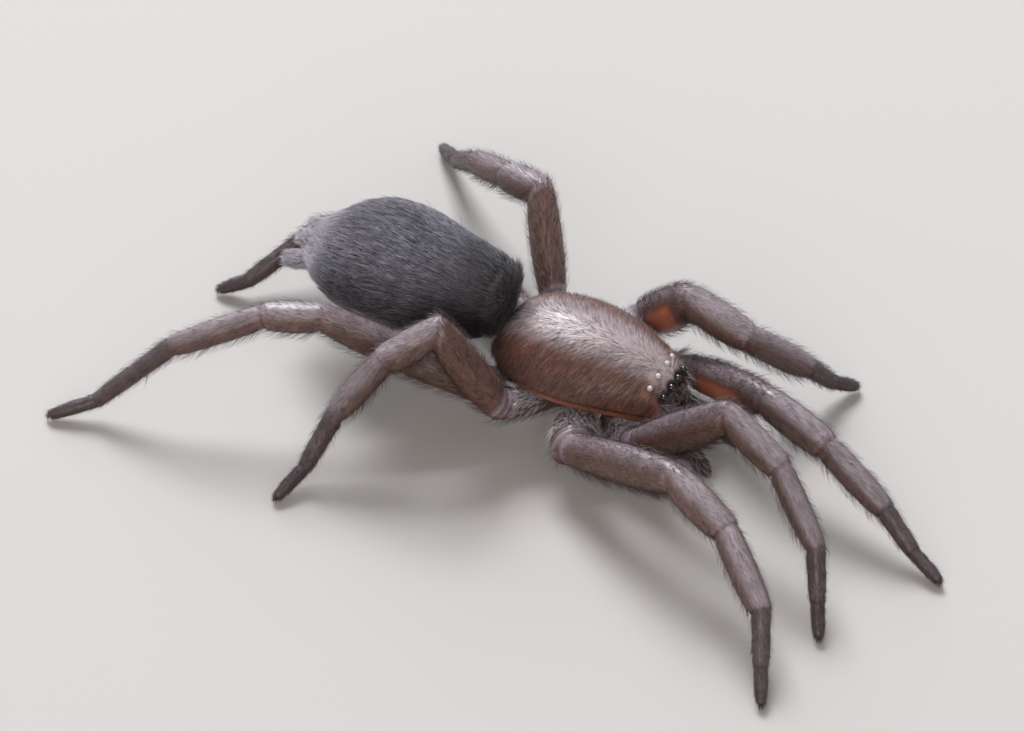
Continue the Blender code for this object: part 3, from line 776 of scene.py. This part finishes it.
# Count, seed, length, width, lift and droop of each layer
HIND_LAYERS = ((33000, 11, 0.20, 0.011, 11, None), (16000, 12, 0.30, 0.011, 9, 6))
BRUSH_COUNT, SILK_COUNT = 3600, 900
HIND_BRISTLES = ((-4.15, 0.75, -0.65), (-3.5, 0.75, -0.65), (-4.8, 0.9, 0.3))
for layer, (count, seed, *build) in enumerate(HIND_LAYERS, 1):
    seat = scatter(hind, count, seed)
    share = PALE_ALL + PALE_CREST_SHEEN * step_up(seat["round"], 0.4, 0.95)
    share += PALE_REAR * step_up(-seat["along"], 5.3, 6.2)
    share += PALE_STREAK * streaks(seat, 0.032, 0.26, seed) ** 2
    shade = shades_of(seat["draw"], count, HIND_DARK, HIND_PALE, share, 0.5)
    # Black at the front end, and painted shade on the lower half, on the hairs as on the skin
    shade = mixed(shade, HIND_BLACK, front_dark(seat) * FRONT_SHARE)
    hairs(f"hind_coat_{layer}", seat, shade * HIND_ROOT, shade * HIND_TIP, "hind", *build, stray=0.12)
grow("hind_brush", hind, BRUSH_COUNT, 13,
     lambda note: step_up(-note["along"], 5.75, 6.1) * step_up(note["round"], -0.9, 0.0),
     HIND_PALE, SILK_PALE, 0.7, "silk", length=0.44, width=0.014, lift=12, droop=10)
for name in SILK_JOINTS:
    grow(name + "_coat", small_skins[name], SILK_COUNT, 14, None, HIND_PALE, SILK_PALE, 0.75, "silk",
         length=0.21, width=0.013, lift=22, droop=12, stray=0.35)
seat = chosen_roots(hind, HIND_BRISTLES, 15)
hairs("hind_bristles", seat, HIND_BLACK, HIND_DARK, "hind", length=0.42, width=0.014, lift=62, droop=30)

# Hair of the head shield: pressed close and running back and down the sides, silvery in a band on the crest,
# partly its own silver hairs and partly a painted sheen, thinner low on the brown flanks, with short dark
# bristles along both edges.
SHIELD_DARK, SHIELD_MID = tone("#4a2f27"), tone("#9c7567")
SHIELD_SHADE, SHIELD_PALE_SHEEN = tone("#5f4b46"), tone("#dcd3d9")
EYE_CLEAR, FACE_FROM, FACE_UNDER = 0.075, 1.68, 1.78
SHIELD_LAYERS = ((22000, 21, 0.19, 0.0055, 4, None), (7000, 22, 0.28, 0.007, 4, 3))
STREAK_SHARE, EDGE_COUNT = 0.6, 1500
BRISTLE_DARK = tone("#38251f")


def on_dome(note):
    """Above the rim, thinner low on the flanks, and clear of the eyes."""
    place = note["place"]
    bare = (from_eyes(place, "front") < EYE_CLEAR) | (from_eyes(place, "hind") < 0.8 * EYE_CLEAR)
    face = (note["along"] > FACE_FROM) & (place[:, 2] < FACE_UNDER * MM)
    return (note["round"] > 0.03) * (0.45 + 0.55 * step_up(note["round"], 0.2, 0.6)) * ~(bare | face)


for layer, (count, seed, *build) in enumerate(SHIELD_LAYERS, 1):
    seat = scatter(shield, count, seed, on_dome)
    # Paler hairs on the crest: partly silver hairs, partly a painted sheen along it
    top = step_up(seat["round"], 0.8, 1.0)
    patchy = STREAK_SHARE * streaks(seat, 0.022, 0.22, seed) + (1 - STREAK_SHARE) * seat["draw"].random(count)
    dark = mixed(SHIELD_DARK, SHIELD_MID, step_up(patchy, 0.4, 0.9))
    pale = mixed(SHIELD_SHADE, SHIELD_PALE_SHEEN, step_up(patchy, 0.34, 0.84))
    shade = mixed(dark, pale, top)
    hairs(f"shield_coat_{layer}", seat, shade * SILKY_ROOT, shade, "shield", *build, stray=0.12)
grow("shield_bristles", shield, EDGE_COUNT, 23,
     lambda note: (note["round"] > 0.05) * (note["round"] < 0.6) * (note["along"] < 1.4),
     BRISTLE_DARK, SHIELD_MID, 0.3, "shield", root=1.0,
     length=0.16, width=0.007, lift=42, droop=20, stray=0.4)

# Hair of the legs: a dense short coat down each piece, lilac-grey on top and browner below as painted sheen
# and painted shade, with fine bristles that stand out, longest below, silver bundles on the hips, and a few
# stout spines.
HIP_SILVER, HIP_GREY = tone("#ece7ee"), tone("#8f7d80")
HAIR_DARK, HAIR_PALE, HAIR_STREAK, HAIR_MOST = 0.30, 1.45, 0.45, 0.9
COAT_COUNT, BRISTLE_COUNT, BUNDLE_COUNT = 17000, 4200, 560
# Each spine's place along its leg, up or down round it, and towards the front
SPINES = ((1.3, 0.95, 0.2), (1.58, 0.9, 0.4), (1.75, 0.7, -0.7),
          (3.55, -0.5, 0.85), (4.35, -0.6, 0.75), (0.6, 0.95, 0.2))


def leg_shades(seat, count, side, number, pale_share):
    """The tone of the skin below each hair, darkened for most hairs and paler for a share of them, a share
    that grows towards the top as a painted sheen.
    """
    rounded = seat["round"] + seat["draw"].normal(0.0, 0.12, count)
    shade = leg_base(seat["along"], rounded, number, side, seat["front"])
    pale = pale_share * (0.3 + step_up(rounded, 0.0, 0.7))
    level = np.where(seat["draw"].random(count) < pale, HAIR_PALE, HAIR_DARK)
    level += HAIR_STREAK * streaks(seat, 0.02, 0.18, number)
    return np.clip(shade * level[:, None], 0.0, HAIR_MOST)


for (side, number), skin in legs.items():
    seed = 100 + number * 10 + (side == "left")

    def cover(note, number=number):
        """Thinner on the amber faces, the hip's folds, the third thighs and the shiny upper ridges."""
        along, rounded = note["along"], note["round"]
        thin = 1 - 0.9 * step_up(amber_share(note, number), 0.2, 0.7)
        folds = step_up(along, 0.76, 0.84) * (1 - step_up(along, 1.03, 1.08))
        thigh = (along > 1.0) * (along < 1.93) * (number == 3)
        ridge = step_up(rounded, 0.45, 0.85) * (along > 2.06) * (along < 3.94)
        return (along > 0.12) * thin * (1 - 0.8 * folds) * (1 - 0.2 * thigh) * (1 - 0.5 * ridge)

    seat = scatter(skin, COAT_COUNT, seed, cover)
    shade = leg_shades(seat, COAT_COUNT, side, number, 0.3)
    hairs(f"leg{number}_coat_{side}", seat, shade * SILKY_ROOT, shade, "limb",
          length=0.17, width=0.006, lift=8, stray=0.14)
    seat = scatter(skin, BRISTLE_COUNT, seed + 300,
                   lambda note: cover(note) * (0.5 + (np.abs(note["round"]) > 0.6)))
    shade = leg_shades(seat, BRISTLE_COUNT, side, number, 0.0)
    slim = 1 - 0.5 * step_up(seat["along"], 3.6, 5.6)
    fringe = 0.5 * (seat["along"] < 4) * step_up(-seat["round"], 0.2, 0.8)
    hairs(f"leg{number}_bristles_{side}", seat, shade, shade * 1.3, "limb",
          length=0.25 * (slim + fringe), width=0.006, lift=34, droop=16, stray=0.25)
    grow(f"leg{number}_bundle_{side}", skin, BUNDLE_COUNT, seed + 600,
         lambda note: (note["along"] > 0.3) * (note["along"] < 0.8) * step_up(note["round"], -0.2, 0.6),
         HIP_GREY, HIP_SILVER, 0.6, "limb", root=SILKY_ROOT,
         length=0.35, width=0.010, lift=30, droop=16, stray=0.3)
    seat = chosen_roots(skin, SPINES, seed + 900)
    hairs(f"leg{number}_spines_{side}", seat, BRISTLE_DARK * 0.7, BRISTLE_DARK, "limb",
          length=0.32, width=0.018, lift=40, droop=14, stray=0.2)

# Hair of the face: dark short hair on jaws and feelers, and long thin pale hairs that hang forward
# from the edge of the face and from the jaws and feelers.
FACE_PALE, FEELER_HAIR = tone("#c0b4b8"), tone("#3d2e2a")
FORWARD_DOWN = np.array((0.0, -1.0, -0.55))
FACE_COUNT = 130
# The tone and the counts of short and long hairs
FACE_PARTS = {"jaw": (JAW_BROWN, 2400, 260), "feeler": (FEELER_HAIR, 3000, 320)}


def outside(note):
    """Clear of the root, which is inside the shield."""
    return note["along"] > 0.35


seat = scatter(shield, FACE_COUNT, 31, lambda note: (
    (note["along"] > 1.62) * (note["place"][:, 2] < 1.8 * MM) * (note["round"] > -0.3)))
seat["flow"] = np.tile(FORWARD_DOWN, (FACE_COUNT, 1))
shade = shades_of(seat["draw"], FACE_COUNT, BRISTLE_DARK, FACE_PALE, 0.6)
hairs("face_hairs", seat, shade * ROOT_SHADE, shade, "jaw",
      length=0.42, width=0.009, lift=30, droop=35, stray=0.5)
for side, out in BOTH_SIDES:
    for part, (dark, short_count, long_count) in FACE_PARTS.items():
        skin = small_skins[f"{part}_{side}"]
        grow(f"{part}_coat_{side}", skin, short_count, 32 + (side == "left"), outside,
             dark * 0.7, dark * 1.5, 0.5, "jaw", length=0.13, width=0.010, lift=22, stray=0.25)
        grow(f"{part}_long_hairs_{side}", skin, long_count, 34 + (side == "left"), outside,
             dark, FACE_PALE, 0.75, "jaw", length=0.32, width=0.008, lift=34, droop=30, stray=0.4)

# Claws: a pair of small curved hooks of dark horn at the end of each foot, rooted inside it.
CLAW_LENGTH, CLAW_APART, CLAW_SUNK, CLAW_ARCH = 0.09, 0.035, 0.6, 0.02
CLAW_BEND, CLAW_POINT, CLAW_ROUND, CLAW_SIDES = 0.5, 0.35, 0.01, 8
CLAW_SIZES = (((0.016, 0.018), (0.015, 0.016), (0.011, 0.012)),
              ((0.011, 0.012), (0.008, 0.008), (0.003, 0.003)))
# Dark horn, the glossiest shell of all: gives each hook a fine bright line
claw_horn = shell_material("claw_horn", rough=0.25, mottle=0.1, grain=0.06, depth=0.001)
for (side, number), joints in LEG_JOINTS.items():
    toe, ankle = Vector(joints[-1]), Vector(joints[-2])
    way = (toe - ankle).normalized()
    level = Vector((way.x, way.y, 0.0)).normalized()
    across = Vector((-level.y, level.x, 0.0))
    for index, apart in enumerate((-CLAW_APART, CLAW_APART)):
        root = toe + across * apart - way * TOE_SHORT * CLAW_SUNK
        bend = root + way * CLAW_LENGTH * CLAW_BEND + Vector((0, 0, CLAW_ARCH))
        tip = bend + level * CLAW_LENGTH * CLAW_POINT - Vector((0, 0, max(0.0, bend.z - CLAW_ARCH)))
        hook = limb_rings([tuple(point) for point in (root, bend, tip)], CLAW_SIZES, (0, 0, 0), CLAW_SIDES,
                          rounded_tip=CLAW_ROUND)
        name = f"claw{number}_{side}_{index + 1}"
        claw = toned_piece(name, loft(hook), claw_horn, lambda values: JAW_BLACK)
        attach(claw, "root")

# All flesh as one skin, which stands for every solid but the eyes.
bpy.ops.object.select_all(action="DESELECT")
for piece in skin_pieces:
    piece.select_set(True)
skin = skin_pieces[0]
bpy.context.view_layer.objects.active = skin
bpy.ops.object.join()
skin.name = "skin"
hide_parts(*[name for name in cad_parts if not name.startswith("eye_")])
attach(skin, "root")

# Eyes: eight clear lenses in two rows. The front row is black, and the hind row shines pearly
# from a mirror behind each lens, with less of a gloss. Each is a full ball half sunk in the shell.
LENS_SIDES, LENS_RINGS = 24, 12
LENS_LOOKS = {"eye_front_middle": ("#0b0b10", 0.22, 0.8), "eye_front_side": ("#0d0d12", 0.22, 0.8),
              "eye_hind_middle": ("#bcb5b8", 0.4, 0.15), "eye_hind_side": ("#b9b2b5", 0.4, 0.15)}
for name, (forward, right, up, radius) in EYES.items():
    # Clear lens over pigment or mirror, polished: gives one small bright window of light
    colour, rough, gloss = LENS_LOOKS[name]
    lens = plain_material(name + "_lens", {"Base Color": tuple(tone(colour)) + (1.0,), "Roughness": rough,
                                           "Coat Weight": gloss, "Coat Roughness": 0.05})
    for side, out in BOTH_SIDES:
        shape = bmesh.new()
        bmesh.ops.create_uvsphere(shape, u_segments=LENS_SIDES, v_segments=LENS_RINGS, radius=radius * MM)
        bmesh.ops.translate(shape, verts=shape.verts[:], vec=spot(forward, right * out, up))
        eye = solid_piece(name + "_ball_" + side, shape, lens)
        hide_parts(name + "_" + side)
        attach(eye, "root")

# Stand: a plain pale floor under soft lamps, with the camera above the right side of the head.
FLOOR_HALF = 0.6
shape = bmesh.new()
bmesh.ops.create_grid(shape, x_segments=1, y_segments=1, size=FLOOR_HALF)
# Pale matt paper: gives a plain ground that shows only the shadows
paper = plain_material("pale_paper", {"Base Color": tuple(tone("#b3b1af")) + (1.0,), "Roughness": 0.9})
floor = solid_piece("floor", shape, paper)

CAMERA_TURN, CAMERA_RISE, CAMERA_AWAY, PIXELS_PER_MM = math.radians(27), math.radians(46), 0.150, 49.0
AIM_RIGHT, AIM_UP, PICTURE_WIDTH, SENSOR = -84.9, 54.0, 1024, 36.0
straight_up = Vector((0.0, 0.0, 1.0))
picture_right = Vector((math.sin(CAMERA_TURN), -math.cos(CAMERA_TURN), 0.0))
picture_near = Vector((-math.cos(CAMERA_TURN), -math.sin(CAMERA_TURN), 0.0))
picture_up = -picture_near * math.sin(CAMERA_RISE) + straight_up * math.cos(CAMERA_RISE)
picture_back = picture_near * math.cos(CAMERA_RISE) + straight_up * math.sin(CAMERA_RISE)
aim = home + (picture_right * AIM_RIGHT + picture_up * AIM_UP) / PIXELS_PER_MM * MM
view = bpy.data.cameras.new("camera")
view.sensor_width = SENSOR
view.lens = PIXELS_PER_MM * CAMERA_AWAY / MM / PICTURE_WIDTH * SENSOR
view.clip_start = 0.01
view.clip_end = 5.0
camera = placed("camera", view)
camera.location = aim + picture_back * CAMERA_AWAY
camera.rotation_euler = picture_back.to_track_quat("Z", "Y").to_euler()
scene = bpy.context.scene
scene.camera = camera

# Soft square lamps that face the spider: metres up, near and right in the picture, size, power and
# colour. The key stands behind it, so that the light runs along the crests as in the photo.
LAMPS = {
    "key": (0.22, -0.17, -0.04, 0.12, 0.95, "#fdfcff"),
    "back": (0.12, -0.27, -0.08, 0.14, 0.26, "#f2f3ff"),
    "fill": (0.15825, 0.25282, -0.05, 0.25, 0.42, "#fff0e6"),
}
for name, (up, near, right, size, power, colour) in LAMPS.items():
    light = bpy.data.lights.new(name, "AREA")
    light.size = size
    light.energy = power
    light.color = tuple(tone(colour))
    lamp = placed(name, light)
    place = straight_up * up + picture_near * near + picture_right * right
    lamp.location = home + place
    lamp.rotation_euler = place.to_track_quat("Z", "Y").to_euler()

world = bpy.data.worlds.new("studio")
world.use_nodes = True
sky = world.node_tree.nodes["Background"]
sky.inputs["Color"].default_value = tuple(tone("#f4f4f4")) + (1.0,)
sky.inputs["Strength"].default_value = 0.48
scene.world = world
scene.view_settings.view_transform = "Standard"
